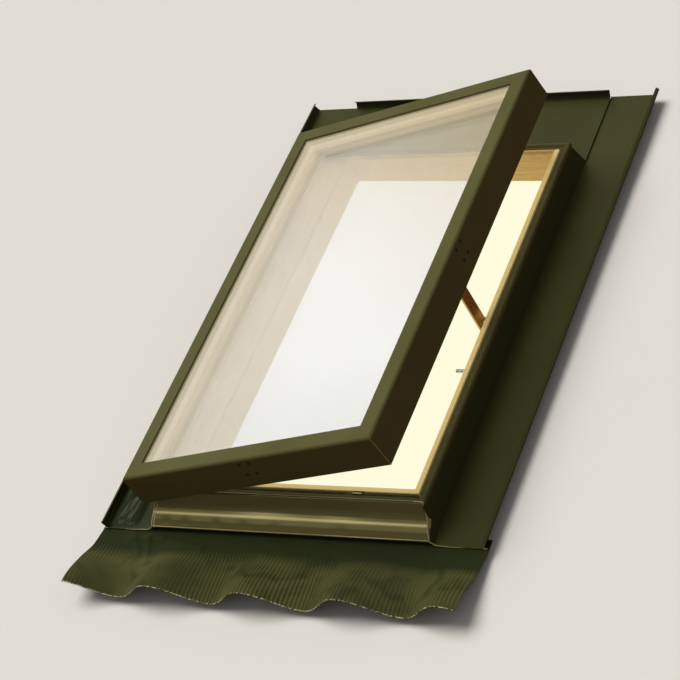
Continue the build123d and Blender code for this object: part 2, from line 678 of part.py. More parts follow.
def sash_leaf_screws():
    x = SASH_X0 + HINGE_TIMBER_IN - LEAF_T
    z = (LEDGE_LOW + LEDGE_TOP) / 2
    screws = []
    for centre in (-HINGE_Y, HINGE_Y):
        for offset_y in (-SCREW_SPREAD, SCREW_SPREAD):
            screws.append(flush_screw((x, centre + offset_y, z), (1, 0, 0)))
    return screws


# Stay arm

def stay_arm():
    """Flat bar hanging from its rivet, with a hook notch on its upper-slope edge."""
    half = ARM_W / 2
    shank = Pos(0, -ARM_L / 2) * Rectangle(ARM_W, ARM_L)
    shank = fillet(shank.vertices().group_by(Axis.Y)[0], ARM_END_R)
    face = Circle(half) + shank
    mouth = outline([(NOTCH_O, -NOTCH_S - NOTCH_R), (half - NOTCH_FLARE, -NOTCH_S - NOTCH_R),
                     (half + 1, -NOTCH_S - NOTCH_R - NOTCH_FLARE), (half + 1, -NOTCH_S + NOTCH_R + NOTCH_FLARE),
                     (half - NOTCH_FLARE, -NOTCH_S + NOTCH_R), (NOTCH_O, -NOTCH_S + NOTCH_R)])
    face -= mouth + Pos(NOTCH_O, -NOTCH_S) * Circle(NOTCH_R)
    face -= Circle(RIVET_R + RUN_CLEAR)
    bar = along_x(Pos(ARM_Y, PIVOT_Z) * face, PIVOT_X - ARM_T / 2, PIVOT_X + ARM_T / 2)
    return bar.rotate(ARM_AXIS, ARM_SWING)


def stay_bracket():
    """Plate under the right sash timber, bent down to the lug that carries the rivet."""
    right = PIVOT_X - ARM_T / 2 - SIDE_CLEAR
    left = right - PLATE_T
    drop = PIVOT_Z - LUG_BELOW
    path = [(left, drop), (left, LEDGE_LOW), (SASH_X1 - BRACKET_END, LEDGE_LOW)]
    profile = sheet(path, PLATE_T, BRACKET_BEND_R)
    body = along_y(profile, ARM_Y - BRACKET_L / 2, ARM_Y + BRACKET_L / 2)
    lug_edges = body.edges().filter_by(Axis.X).group_by(Axis.Z)[0]
    body = fillet(lug_edges, BRACKET_R)
    return body - rod((left - CUT, ARM_Y, PIVOT_Z), (1, 0, 0), RIVET_R, PLATE_T + 2 * CUT)


def stay_pivot():
    """Rivet through the lug and the arm."""
    left = PIVOT_X - ARM_T / 2 - SIDE_CLEAR - PLATE_T
    right = PIVOT_X + ARM_T / 2 + SIDE_CLEAR
    point = (left - RIVET_HEAD, ARM_Y, PIVOT_Z)
    body = rod(point, (1, 0, 0), RIVET_R, right - left + 2 * RIVET_HEAD)
    body += rod(point, (1, 0, 0), RIVET_HEAD_R, RIVET_HEAD)
    return body + rod((right, ARM_Y, PIVOT_Z), (1, 0, 0), RIVET_HEAD_R, RIVET_HEAD)


def stay_screws():
    screws = []
    for offset_y in (-BRACKET_SPREAD, BRACKET_SPREAD):
        start = (SASH_X1 - BRACKET_SCREW, ARM_Y + offset_y, LEDGE_LOW - PLATE_T)
        screws.append(pan_screw(start, (0, 0, 1), SHORT_SCREW_L))
    return screws


def peg(tip, y, z):
    """Turned peg with a round base plate on the right timber's inner face."""
    length = INNER_X - tip
    body = rod((tip, y, z), (1, 0, 0), PEG_R, length)
    body += rod((INNER_X - PEG_PLATE_T, y, z), (1, 0, 0), PEG_PLATE_R, PEG_PLATE_T)
    return body + shank((INNER_X, y, z), (1, 0, 0), PEG_TANG_R, PEG_TANG)


def peg_places():
    """The peg beside the hanging arm and the peg under the folded arm, as (y, z)."""
    beside = degrees(asin((ARM_W / 2 + PEG_R + PEG_CLEAR) / PEG_ARM))
    angle = radians(ARM_SWING - beside)
    y = ARM_Y - PEG_ARM * sin(angle)
    drop = PEG_ARM * cos(angle)
    hinge_x = PIVOT_X - HINGE_X
    hinge_z = PIVOT_Z - drop - HINGE_Z
    x = HINGE_X + hinge_x * cos(radians(OPEN)) - hinge_z * sin(radians(OPEN))
    z = HINGE_Z + hinge_x * sin(radians(OPEN)) + hinge_z * cos(radians(OPEN))
    return {"peg_open": (x - PEG_OPEN_PAST, y, z),
            "peg_closed": (PIVOT_X - PEG_CLOSED_PAST, ARM_Y - NOTCH_S, PIVOT_Z - NOTCH_O)}


# Mounting angles

def mounting_angle(sign, centre):
    """Folded steel angle: leg on the timber's outer face, foot on the roof."""
    leg = (sorted((sign * TIMBER_X, sign * (TIMBER_X + ANGLE_T))))
    foot = (sorted((sign * TIMBER_X, sign * (TIMBER_X + ANGLE_FOOT))))
    span = (centre - ANGLE_L / 2, centre + ANGLE_L / 2)
    body = box(leg, span, (0, ANGLE_H)) + box(foot, span, (0, ANGLE_T))
    corners = body.edges().filter_by(Axis.Z)
    far = corners.sort_by(Axis.X)[-2:] if sign > 0 else corners.sort_by(Axis.X)[:2]
    body = fillet(far, ANGLE_R)
    for offset_y in (-ANGLE_SPREAD / 2, ANGLE_SPREAD / 2):
        spot = (sign * (TIMBER_X + ANGLE_HOLE_OUT), centre + offset_y, -CUT)
        body -= rod(spot, (0, 0, 1), ANGLE_HOLE_R, ANGLE_T + 2 * CUT)
    return body


def angle_screws():
    screws = []
    for sign in (-1, 1):
        for centre in (-ANGLE_Y, ANGLE_Y):
            for offset_y in (-SCREW_SPREAD, SCREW_SPREAD):
                start = (sign * (TIMBER_X + ANGLE_T), centre + offset_y, ANGLE_SCREW_Z)
                screws.append(hex_screw(start, (-sign, 0, 0)))
    return screws


def less(shape, tools):
    for tool in tools:
        shape -= tool
    return shape


def build():
    nodes = {}
    timbers = frame_timbers()
    leaf_screws = frame_leaf_screws()
    foot_screws = angle_screws()
    pegs = {name: peg(*place) for name, place in peg_places().items()}
    left_wall = mirrored(flashing_side())
    for side, timber in timbers.items():
        tools = {"left": leaf_screws + foot_screws[:4], "right": foot_screws[4:] + list(pegs.values())}
        nodes["frame_timber_" + side] = less(timber, tools.get(side, []))
    for side, cap in caps().items():
        nodes["cap_" + side] = cap
    nodes["cap_clip"] = cap_clip()
    nodes["flashing_side_left"] = less(left_wall, leaf_screws)
    nodes["flashing_side_right"] = flashing_side()
    nodes["flashing_top"] = flashing_top()
    nodes["moulding_front"] = moulding_front()
    nodes["apron"] = apron()
    nodes.update(pegs)
    nodes["hinge_frame_screws"] = Compound(leaf_screws)
    nodes["angle_screws"] = Compound(foot_screws)
    for name, sign, centre in (("left_lower", -1, -ANGLE_Y), ("left_upper", -1, ANGLE_Y),
                               ("right_lower", 1, -ANGLE_Y), ("right_upper", 1, ANGLE_Y)):
        nodes["angle_" + name] = less(mounting_angle(sign, centre), foot_screws)
    sash_screws = sash_leaf_screws()
    bracket_screws = stay_screws()
    sash = sash_pieces()
    sash["sash_timber_left"] = less(sash["sash_timber_left"], sash_screws)
    sash["sash_timber_right"] = less(sash["sash_timber_right"], bracket_screws)
    sash["stay_bracket"] = less(stay_bracket(), bracket_screws)
    sash["stay_pivot"] = stay_pivot()
    sash["stay_arm"] = stay_arm()
    sash["stay_screws"] = Compound(bracket_screws)
    sash["hinge_sash_screws"] = Compound(sash_screws)
    for name, centre in (("lower", -HINGE_Y), ("upper", HINGE_Y)):
        nodes["hinge_frame_leaf_" + name] = less(frame_leaf(centre), leaf_screws)
        nodes["hinge_pin_" + name] = hinge_pin(centre)
        sash["hinge_sash_leaf_" + name] = less(sash_leaf(centre), sash_screws)
    for name, piece in sash.items():
        nodes[name] = opened(piece)
    return nodes


os.makedirs("parts", exist_ok=True)
for node, solid in build().items():
    save(solid, node)
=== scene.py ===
import json
import math

import bpy
from mathutils import Matrix, Vector, noise

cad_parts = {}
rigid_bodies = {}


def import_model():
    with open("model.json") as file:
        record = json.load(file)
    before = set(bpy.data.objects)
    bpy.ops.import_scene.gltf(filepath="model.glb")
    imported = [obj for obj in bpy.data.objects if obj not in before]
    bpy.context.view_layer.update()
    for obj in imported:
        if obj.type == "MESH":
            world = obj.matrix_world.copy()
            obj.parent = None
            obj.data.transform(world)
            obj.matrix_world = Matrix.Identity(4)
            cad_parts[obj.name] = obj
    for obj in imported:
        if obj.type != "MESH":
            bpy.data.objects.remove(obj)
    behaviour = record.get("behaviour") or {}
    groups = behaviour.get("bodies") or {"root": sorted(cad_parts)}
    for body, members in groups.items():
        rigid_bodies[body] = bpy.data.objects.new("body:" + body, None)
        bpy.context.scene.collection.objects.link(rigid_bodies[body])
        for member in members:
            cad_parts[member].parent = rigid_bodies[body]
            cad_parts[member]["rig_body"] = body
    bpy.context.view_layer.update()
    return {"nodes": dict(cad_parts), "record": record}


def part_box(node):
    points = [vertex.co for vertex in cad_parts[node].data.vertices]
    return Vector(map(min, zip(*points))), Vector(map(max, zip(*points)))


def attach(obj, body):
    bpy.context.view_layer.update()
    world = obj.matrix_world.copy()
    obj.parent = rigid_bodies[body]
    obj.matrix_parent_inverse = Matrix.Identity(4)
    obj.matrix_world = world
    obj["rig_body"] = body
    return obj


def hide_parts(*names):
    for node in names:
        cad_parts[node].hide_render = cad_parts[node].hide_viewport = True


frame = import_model()
NODES = frame["nodes"]

# ---------------------------------------------------------------- shader maths


class Field:
    """A socket of a finish; sums and products of fields add Math nodes."""

    def __init__(self, finish, socket):
        self.finish = finish
        self.socket = socket

    def calc(self, operation, first, second):
        return self.finish.node("ShaderNodeMath", {"operation": operation}, [first, second])

    def __add__(self, other):
        return self.calc("ADD", self, other)

    def __radd__(self, other):
        return self.calc("ADD", other, self)

    def __rsub__(self, other):
        return self.calc("SUBTRACT", other, self)

    def __mul__(self, other):
        return self.calc("MULTIPLY", self, other)

    def __rmul__(self, other):
        return self.calc("MULTIPLY", other, self)

    def __pow__(self, other):
        return self.calc("POWER", self, other)


class Finish:
    """A material, or the sky, whose nodes all come from one method."""

    def __init__(self, name, sky=None):
        self.material = sky or bpy.data.materials.new(name)
        self.material.use_nodes = True
        self.tree = self.material.node_tree
        self.tree.nodes.clear()
        kind = "ShaderNodeOutputWorld" if sky else "ShaderNodeOutputMaterial"
        self.output = self.tree.nodes.new(kind)
        self.place = self.node("ShaderNodeTexCoord", out="Generated" if sky else "Object")

    def node(self, kind, settings=None, inputs=None, out=0):
        """Add a node; its inputs are fields or plain values, given by name or in order."""
        made = self.tree.nodes.new(kind)
        for key, value in (settings or {}).items():
            setattr(made, key, value)
        pairs = inputs.items() if isinstance(inputs, dict) else enumerate(inputs or [])
        for key, value in pairs:
            if isinstance(value, Field):
                self.tree.links.new(value.socket, made.inputs[key])
            else:
                made.inputs[key].default_value = value
        return Field(self, made.outputs[out])

    def stretched(self, scale, turn=(0.0, 0.0, 0.0)):
        return self.node("ShaderNodeMapping", None,
                         {"Vector": self.place, "Scale": scale, "Rotation": turn})

    def noise(self, scale, detail=3.0, vector=None, rough=0.5, distortion=0.0):
        return self.node("ShaderNodeTexNoise", None,
                         {"Vector": vector or self.place, "Scale": scale, "Detail": detail,
                          "Roughness": rough, "Distortion": distortion}, "Fac")

    def ramp(self, factor, low, high, bottom=0.0, top=1.0):
        return self.node("ShaderNodeMapRange", {"clamp": True},
                         {"Value": factor, "From Min": low, "From Max": high,
                          "To Min": bottom, "To Max": top})

    def varied(self, cloud, low, high):
        """A value that runs between two limits over the usual range of a noise."""
        return self.ramp(cloud, 0.3, 0.7, low, high)

    def axis(self, letter):
        return self.node("ShaderNodeSeparateXYZ", None, {"Vector": self.place}, letter)

    def tint(self, factor, first, second):
        """The first colour at 0, the second at 1; the numbers are the node's colour sockets."""
        return self.node("ShaderNodeMix", {"data_type": "RGBA"},
                         {0: factor, 6: first, 7: second}, 2)

    def bump(self, height, strength, distance):
        return self.node("ShaderNodeBump", None,
                         {"Strength": strength, "Distance": distance, "Height": height})

    def surface(self, shader):
        self.tree.links.new(shader.socket, self.output.inputs["Surface"])
        return self.material

    def principled(self, **inputs):
        names = {key.replace("_", " ").title().replace("Ior", "IOR"): value
                 for key, value in inputs.items()}
        return self.node("ShaderNodeBsdfPrincipled", None, names)


def linear(red, green, blue):
    """Scene colour of a screen colour given in 0 to 255."""
    channels = []
    for value in (red, green, blue):
        share = value / 255.0
        channels.append(share / 12.92 if share <= 0.04045 else ((share + 0.055) / 1.055) ** 2.4)
    return (*channels, 1.0)


# ------------------------------------------------------------------- finishes

TILT = math.radians(13.77)     # the sash stands open by this much at rest
SHARP = 0.0003                 # half the width of a sharp change of colour
LIT_STRIP_TOP = 0.0597              # above this height the frame's bare inner strip gets a painted highlight
STRIP_EDGE = -0.2235           # the sealing strip starts here on the left cover
FOIL_END = -0.259              # the gutter foil is dull beyond this
APRON_CUT = -0.5294            # the apron is paler along its edge from here
APRON_SHADE = (-0.440, -0.420)   # painted shade: the apron darkens between these, towards the moulding
DRAWN = (1.0, 60.0, 60.0)        # stretch of the drawing marks on steel
GRAIN_X, GRAIN_Y = (2.2, 26.0, 26.0), (26.0, 2.2, 26.0)   # stretch of rings, then of fibres
FIBRE_X, FIBRE_Y = (9.0, 420.0, 420.0), (420.0, 9.0, 420.0)
# pale pine for the painted highlight on the strips' top
PAINTED_LIGHT_PINE = linear(252, 226, 152)
GLASS_TINT, GLASS_MIRROR = (0.914, 0.9225, 0.929, 1.0), 0.096   # the share it mirrors face on
BLACK = (0.0, 0.0, 0.0, 1.0)
WHITE = (1.0, 1.0, 1.0, 1.0)


def darker(colour, share):
    return tuple(share * value for value in colour[:3]) + (1.0,)


def coated_metal(name, colour, shade, roughness, sheen=0.2, mottled=0.5, metallic=0.0, uneven=0.13,
                 dull_beyond=None):
    """Factory coated sheet: faint mottling, dust, uneven gloss and an orange-peel bump."""
    finish = Finish(name)
    cloud = finish.noise(9.0, 4.0)
    speck = finish.noise(420.0, 2.0)
    dust = finish.ramp(cloud * 0.7 + speck * 0.3, 0.35, 0.7)
    base = finish.tint(dust * mottled, colour, shade)
    rough = finish.varied(cloud, roughness - 0.4 * uneven, roughness + 0.6 * uneven)
    if dull_beyond:
        rough = rough + finish.ramp(finish.axis("X"), dull_beyond - 0.012, dull_beyond, 0.0, 0.2)
    normal = finish.bump(speck, 0.03, 0.0004)
    shader = finish.principled(base_color=base, roughness=rough, normal=normal, metallic=metallic,
                               specular_ior_level=sheen)
    return finish.surface(shader)


def pine(name, along, tilt=0.0, painted_glow=0.0, figure=0.55, painted_light_above=None,
         pale=linear(236, 206, 138), dark=linear(204, 160, 90)):
    """Lacquered pine with its grain along one axis; some pieces glow with painted light that
    stands in for the room's light, and the inner strips get a painted highlight on top.
    """
    finish = Finish(name)
    grain, fine = (GRAIN_X, FIBRE_X) if along == "x" else (GRAIN_Y, FIBRE_Y)
    turn = (0.0, tilt, 0.0)
    rings = finish.noise(3.2, 4.0, finish.stretched(grain, turn), 0.55, 0.9)
    fibre = finish.noise(1.0, 3.0, finish.stretched(fine, turn), 0.6)
    ring = finish.node("ShaderNodeMath", {"operation": "FRACT"}, [rings * 7.0])
    bands = finish.ramp(ring, 0.1, 0.95)
    base = finish.tint(bands * figure + fibre * 0.25, pale, dark)
    # painted highlight: the strip's top is tinted pale, as if its edge caught the room's light
    if painted_light_above:
        top = finish.ramp(finish.axis("Z"), painted_light_above - SHARP, painted_light_above + SHARP)
        base = finish.tint(top * 0.75, base, PAINTED_LIGHT_PINE)
    # painted light: the emission makes some pieces glow as if lit by the room below
    shader = finish.principled(base_color=base, emission_color=base, emission_strength=painted_glow,
                               roughness=finish.varied(fibre, 0.36, 0.5),
                               normal=finish.bump(fibre, 0.15, 0.0008),
                               coat_weight=0.3, coat_roughness=0.2)
    return finish.surface(shader)


def plain_metal(name, colour, roughness):
    """Zinc plated or polished steel with fine drawing marks."""
    finish = Finish(name)
    marks = finish.noise(14.0, 3.0, finish.stretched(DRAWN))
    cloud = finish.noise(40.0, 2.0)
    base = finish.tint(cloud * 0.4, colour, darker(colour, 0.7))
    rough = finish.varied(marks, roughness - 0.08, roughness + 0.12)
    shader = finish.principled(base_color=base, roughness=rough, metallic=1.0,
                               normal=finish.bump(marks, 0.1, 0.0004))
    return finish.surface(shader)


def rubber(name, colour, painted_glow=0.0):
    """Matt rubber or foam; round the panes it also glows a little with painted light that stands
    in for the room's light.
    """
    finish = Finish(name)
    grain = finish.noise(600.0, 2.0)
    base = finish.tint(grain * 0.5, colour, darker(colour, 0.8))
    # painted light: the emission lets the pieces round the panes glow
    shader = finish.principled(base_color=base, emission_color=base, emission_strength=painted_glow,
                               roughness=finish.varied(grain, 0.6, 0.75),
                               normal=finish.bump(grain, 0.1, 0.0004))
    return finish.surface(shader)


def clear_glass(name, tint_colour, least):
    """Coated pane: a clear body, a sky reflection that grows at a glance, and a little dust."""
    finish = Finish(name)
    glance = finish.node("ShaderNodeLayerWeight", None, {"Blend": 0.5}, "Facing")
    dust = finish.ramp(finish.noise(7.0, 5.0), 0.35, 0.75, 0.0, 0.012)
    veil = glance ** 5.0 * (1.0 - least) + least + dust
    body = finish.node("ShaderNodeBsdfTransparent", None, {"Color": tint_colour})
    mirror = finish.node("ShaderNodeBsdfGlossy", None, {"Color": WHITE, "Roughness": 0.03})
    return finish.surface(finish.node("ShaderNodeMixShader", None, {0: veil, 1: body, 2: mirror}))


def ribbed_sheet(name):
    """Soft apron sheet: painted shade below the moulding, worn on the ribs, paler along the cut
    edge.
    """
    finish = Finish(name)
    along = finish.axis("Y")
    cloud = finish.noise(6.0, 4.0, distortion=0.4)
    worn = finish.noise(22.0, 3.0, distortion=1.0)
    grain = finish.noise(300.0, 2.0)
    base = finish.tint(finish.ramp(cloud, 0.35, 0.62), linear(55, 60, 34), linear(82, 82, 47))
    base = finish.tint(finish.ramp(worn, 0.5, 0.66) * 0.55, base, linear(40, 45, 26))
    # painted shade: darker towards the moulding, where its shadow falls
    upper = finish.ramp(along + cloud * 0.04, *APRON_SHADE)
    base = finish.tint(upper * 0.95, base, linear(40, 46, 26))
    # paler along the cut edge
    bare = finish.ramp(along, APRON_CUT, APRON_CUT - 0.0008) * finish.ramp(grain, 0.45, 0.55)
    base = finish.tint(bare * 0.85, base, linear(206, 198, 160))
    shader = finish.principled(base_color=base, roughness=finish.varied(cloud, 0.58, 0.72),
                               normal=finish.bump(grain, 0.05, 0.0005), specular_ior_level=0.05)
    return finish.surface(shader)


def striped_cover(name, coat, strip):
    """The left cover: coated outside, with a pale sealing strip on its inner flange that glows
    with painted light.
    """
    finish = Finish(name)
    cloud = finish.noise(30.0, 3.0)
    inner = finish.ramp(finish.axis("X"), STRIP_EDGE - SHARP, STRIP_EDGE + SHARP)
    base = finish.tint(inner, coat, finish.tint(cloud, strip, darker(strip, 0.85)))
    # painted light: only the strip glows, standing in for the room's light
    painted_glow_colour = finish.tint(inner, BLACK, strip)
    shader = finish.principled(base_color=base, emission_color=painted_glow_colour, emission_strength=0.3,
                               roughness=finish.varied(cloud, 0.5, 0.65),
                               normal=finish.bump(cloud, 0.05, 0.0005), specular_ior_level=0.2)
    return finish.surface(shader)


FINISHES = {
    "sash_cladding": coated_metal("olive_coating", linear(86, 84, 48), linear(77, 75, 43),
                                  0.5, 0.08),
    "frame_cover": coated_metal("cover_coating", linear(90, 86, 52), linear(77, 75, 45),
                                0.45, 0.12),
    "striped_cover": striped_cover("striped_cover", linear(62, 62, 36), linear(206, 186, 142)),
    "flashing": coated_metal("flashing_coating", linear(61, 63, 33), linear(52, 55, 29),
                             0.42, 0.12),
    "moulding": coated_metal("moulding_coating", linear(122, 113, 66), linear(112, 104, 62),
                             0.22, 0.5, mottled=0.3, metallic=0.5, uneven=0.03),
    # painted highlight: the hems, seams and the cover bead are pale so that they show as bright
    # lines
    "hem": coated_metal("hem_painted_highlight", linear(190, 178, 130), linear(130, 120, 82),
                        0.4, 0.5, mottled=0.8, metallic=0.3),
    # painted highlight: a pale line along the clip's edge and at the lower cover's corner
    "edge_painted_highlight": coated_metal("edge_painted_highlight", linear(224, 212, 168), linear(176, 164, 120),
                              0.45, 0.4),
    "foil": coated_metal("foil_coating", linear(44, 50, 30), linear(32, 38, 22),
                         0.22, 0.16, mottled=0.6, dull_beyond=FOIL_END),
    "apron": ribbed_sheet("apron_coating"),
    "pine_x": pine("pine_across", "x",
                   pale=linear(226, 190, 110), dark=linear(192, 146, 68)),
    "pine_y": pine("pine_along", "y"),
    # painted light: these strips and the left sash timber glow; the strips also get a painted
    # highlight on top
    "strip_pine_x": pine("strip_pine_across", "x", painted_glow=0.1, painted_light_above=LIT_STRIP_TOP),
    "strip_pine_y": pine("strip_pine_along", "y", painted_glow=0.1, painted_light_above=LIT_STRIP_TOP),
    # painted shade: a darker pine, so the sash's top timber shows less of the room's light
    "sash_pine_x": pine("sash_pine_across", "x", TILT, figure=0.15,
                        pale=linear(186, 166, 120), dark=linear(170, 146, 100)),
    "sash_pine_y": pine("sash_pine_along", "y", painted_glow=0.22, figure=0.15),
    "bright_metal": plain_metal("bright_steel", linear(214, 212, 204), 0.25),
    "zinc_steel": plain_metal("zinc_steel", linear(196, 196, 190), 0.35),
    "hinge_steel": plain_metal("hinge_steel", linear(176, 174, 164), 0.38),
    "stay_steel": plain_metal("stay_steel", linear(190, 152, 100), 0.3),
    "rubber": rubber("gasket", linear(128, 118, 86)),
    # painted light: the seal, the glazing tape and the spacer glow round the panes
    "pale_seal": rubber("pale_seal", linear(212, 196, 158), 0.38),
    "spacer": rubber("spacer_pale", linear(212, 196, 160), 0.5),
    # painted shade: dark discs that stand for the shade inside the skirt's holes
    "shade_disc": rubber("hole_shade_disc", linear(22, 20, 12)),
    "glass": clear_glass("float_glass", GLASS_TINT, GLASS_MIRROR),
}

# Nodes whose finish isn't their slot's
OWN_FINISH = {"cap_left": "striped_cover", "cap_clip": "frame_cover", "seal": "pale_seal",
              "glazing_tape": "pale_seal"}


def finish_of(node, slot):
    """Name of a node's finish; pine varies with the grain's direction and the place."""
    if slot != "pine":
        return OWN_FINISH.get(node, slot)
    finish = "pine_y" if node.endswith(("left", "right")) else "pine_x"
    if node.startswith("sash"):
        return "sash_" + finish
    return "strip_" + finish if node.endswith(("right", "bottom")) else finish


def dress(piece, finish):
    piece.data.materials.clear()
    piece.data.materials.append(FINISHES[finish])


NODE_SLOTS = {entry["node"]: entry["material_slot"] for entry in frame["record"]["subparts"]}
for node, slot in NODE_SLOTS.items():
    dress(NODES[node], finish_of(node, slot))

# --------------------------------------------------------------------- pieces


def only(piece):
    bpy.ops.object.select_all(action="DESELECT")
    piece.select_set(True)
    bpy.context.view_layer.objects.active = piece


def smooth(piece, degrees):
    only(piece)
    bpy.ops.object.shade_smooth_by_angle(angle=math.radians(degrees))


def modified(piece, kind, **settings):
    """Add one modifier and apply it."""
    only(piece)
    modifier = piece.modifiers.new(kind.lower(), kind)
    for key, value in settings.items():
        setattr(modifier, key, value)
    bpy.ops.object.modifier_apply(modifier=modifier.name)


def settle(piece, body, finish, nodes=()):
    """Hang a finished piece on its body, in place of its CAD nodes."""
    dress(piece, finish)
    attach(piece, body)
    if nodes:
        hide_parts(*nodes)


def sheet_grid(name, columns, rows):
    """Flat grid, one metre square, to be formed into a pressed sheet."""
    bpy.ops.object.select_all(action="DESELECT")
    bpy.ops.mesh.primitive_grid_add(x_subdivisions=columns, y_subdivisions=rows, size=1.0)
    piece = bpy.context.object
    piece.name = name
    return piece


WELD_REACH, FLAT_ANGLE, BEVEL_ANGLE, SMOOTH_ANGLE = 0.000005, 0.5, 30.0, 40.0


def soft_edges(node, width, reshape=None):
    """A CAD node's shape, its edges broken as a brake press or a planer leaves them."""
    source = NODES[node]
    mesh = source.data.copy()
    piece = bpy.data.objects.new(node + "_finished", mesh)
    bpy.context.scene.collection.objects.link(piece)
    only(piece)
    bpy.ops.mesh.customdata_custom_splitnormals_clear()
    bpy.ops.object.mode_set(mode="EDIT")
    bpy.ops.mesh.select_all(action="SELECT")
    bpy.ops.mesh.remove_doubles(threshold=WELD_REACH)
    bpy.ops.mesh.dissolve_limited(angle_limit=math.radians(FLAT_ANGLE))
    bpy.ops.object.mode_set(mode="OBJECT")
    if reshape:
        for vertex in mesh.vertices:
            reshape(vertex.co)
    modified(piece, "BEVEL", width=width, segments=2, limit_method="ANGLE",
             angle_limit=math.radians(BEVEL_ANGLE), harden_normals=False)
    smooth(piece, SMOOTH_ANGLE)
    modified(piece, "WEIGHTED_NORMAL", keep_sharp=True)
    slot = NODE_SLOTS[node]
    settle(piece, source["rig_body"], finish_of(node, slot), [node])


def rounded(points, radius, steps):
    """Profile points with an arc of a few steps at each inner corner."""
    line = [Vector(points[0])]
    for before, corner, after in zip(points, points[1:], points[2:]):
        corner = Vector(corner)
        back = (Vector(before) - corner).normalized()
        ahead = (Vector(after) - corner).normalized()
        half = back.angle(ahead) / 2
        reach = min(radius / math.tan(half), 0.45 * (Vector(before) - corner).length,
                    0.45 * (Vector(after) - corner).length)
        start, end = corner + back * reach, corner + ahead * reach
        for step in range(steps + 1):
            share = step / steps
            line.append(start * (1 - share) ** 2 + corner * (2 * share * (1 - share))
                        + end * share ** 2)
    line.append(Vector(points[-1]))
    return line


def spaced(line, count):
    """The same profile as evenly spaced points."""
    lengths = [0.0]
    for start, end in zip(line, line[1:]):
        lengths.append(lengths[-1] + (end - start).length)
    points = []
    index = 0
    for step in range(count + 1):
        want = lengths[-1] * step / count
        while index < len(line) - 2 and lengths[index + 1] < want:
            index += 1
        span = max(lengths[index + 1] - lengths[index], 1e-9)
        points.append(line[index].lerp(line[index + 1], (want - lengths[index]) / span))
    return points


def step_up(low, high, value):
    """0 up to the first value, 1 from the second on, smooth between them."""
    share = min(max((value - low) / (high - low), 0.0), 1.0)
    return share * share * (3 - 2 * share)


# Apron: soft ribbed sheet dressed over the tiles below

APRON_LOW, APRON_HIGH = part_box("apron")
APRON_FLAT_Z = 0.0122
APRON_START_Y = -0.405
APRON_THICK = 0.0012
APRON_COLUMNS, APRON_ROWS = 660, 46
WAVE_PITCH, WAVE_CREST, WAVE_FALL = 0.155, -0.021, 0.64   # the last: share that slopes down
WAVE_LOW, WAVE_RISE = 0.002, 0.032
RIB_PITCH, RIB_DEPTH = 0.0058, 0.0016
RIBS_FROM, RIBS_FULL, RIBS_WANDER = -0.422, -0.452, 0.008
RIB_LEAST, RIB_MOST = 0.1, 1.15          # share of the depth on worn and on crisp patches
RIB_DRIFT, RIB_FAN = 0.0012, 0.06        # ribs run a little crooked and spread downwards
FREE_FROM, FREE_FULL = -0.407, -0.416    # above, the sheet is held under the moulding
APRON_DENTS = 0.0012


def tile_wave(x):
    """Height of the tiles' waves, 0 to 1, along the apron."""
    phase = (x - WAVE_CREST) / WAVE_PITCH
    phase -= math.floor(phase)
    if phase < WAVE_FALL:
        return 0.5 + 0.5 * math.cos(math.pi * phase / WAVE_FALL)
    return 0.5 - 0.5 * math.cos(math.pi * (phase - WAVE_FALL) / (1 - WAVE_FALL))


def crease(x, y, start, end, width):
    """1 on the line between two points of the plan, 0 a width away."""
    along = (end - start).normalized()
    offset = Vector((x, y)) - start
    run = offset.dot(along)
    past = max(-run, run - (end - start).length, 0.0)
    side = abs(offset.x * along.y - offset.y * along.x)
    return math.exp(-((side ** 2 + past ** 2) / width ** 2))


# Both ends of each pleat in plan, its half width and its height
PLEATS = (
    (Vector((-0.262, -0.412)), Vector((-0.238, -0.448)), 0.004, 0.0022),
    (Vector((-0.232, -0.418)), Vector((-0.214, -0.470)), 0.005, 0.0026),
    (Vector((-0.262, -0.424)), Vector((-0.205, -0.421)), 0.005, 0.0026),
    (Vector((-0.205, -0.421)), Vector((-0.130, -0.436)), 0.006, 0.0030),
    (Vector((-0.130, -0.436)), Vector((-0.020, -0.441)), 0.008, 0.0026),
    (Vector((-0.020, -0.441)), Vector((0.070, -0.434)), 0.009, 0.0020),
    (Vector((0.110, -0.432)), Vector((0.230, -0.446)), 0.008, 0.0022),
)


def apron_z(x, y):
    """Height of the apron's upper face over a place of the plan."""
    share = step_up(0.0, APRON_LOW.y - APRON_START_Y, y - APRON_START_Y)
    z = APRON_FLAT_Z + share * (WAVE_LOW + WAVE_RISE * tile_wave(x))
    wander = noise.noise(Vector((x * 9.0, 0.3, 0.0))) * RIBS_WANDER
    formed = step_up(RIBS_FROM, RIBS_FULL, y + wander)
    patch = 0.6 + 1.3 * noise.noise(Vector((x * 7.0, y * 11.0, 4.0)))
    drift = noise.noise(Vector((x * 3.0, y * 5.0, 9.0))) * RIB_DRIFT
    rib = math.cos(2 * math.pi * (x + drift + RIB_FAN * (y - APRON_START_Y)) / RIB_PITCH)
    z += formed * min(max(patch, RIB_LEAST), RIB_MOST) * RIB_DEPTH * 0.5 * (rib - 1.0)
    free = step_up(FREE_FROM, FREE_FULL, y)
    for start, end, width, height in PLEATS:
        z += free * height * crease(x, y, start, end, width)
    return z + free * APRON_DENTS * noise.noise(Vector((x * 16.0, y * 22.0, 1.0)))


def make_apron():
    piece = sheet_grid("apron_sheet", APRON_COLUMNS, APRON_ROWS)
    low, high = APRON_LOW, APRON_HIGH
    for vertex in piece.data.vertices:
        x = low.x + (vertex.co.x + 0.5) * (high.x - low.x)
        y = low.y + (vertex.co.y + 0.5) * (high.y - low.y)
        vertex.co = (x, y, apron_z(x, y))
    modified(piece, "SOLIDIFY", thickness=APRON_THICK, offset=-1.0)
    smooth(piece, 60.0)
    settle(piece, "frame", "apron", ["apron"])


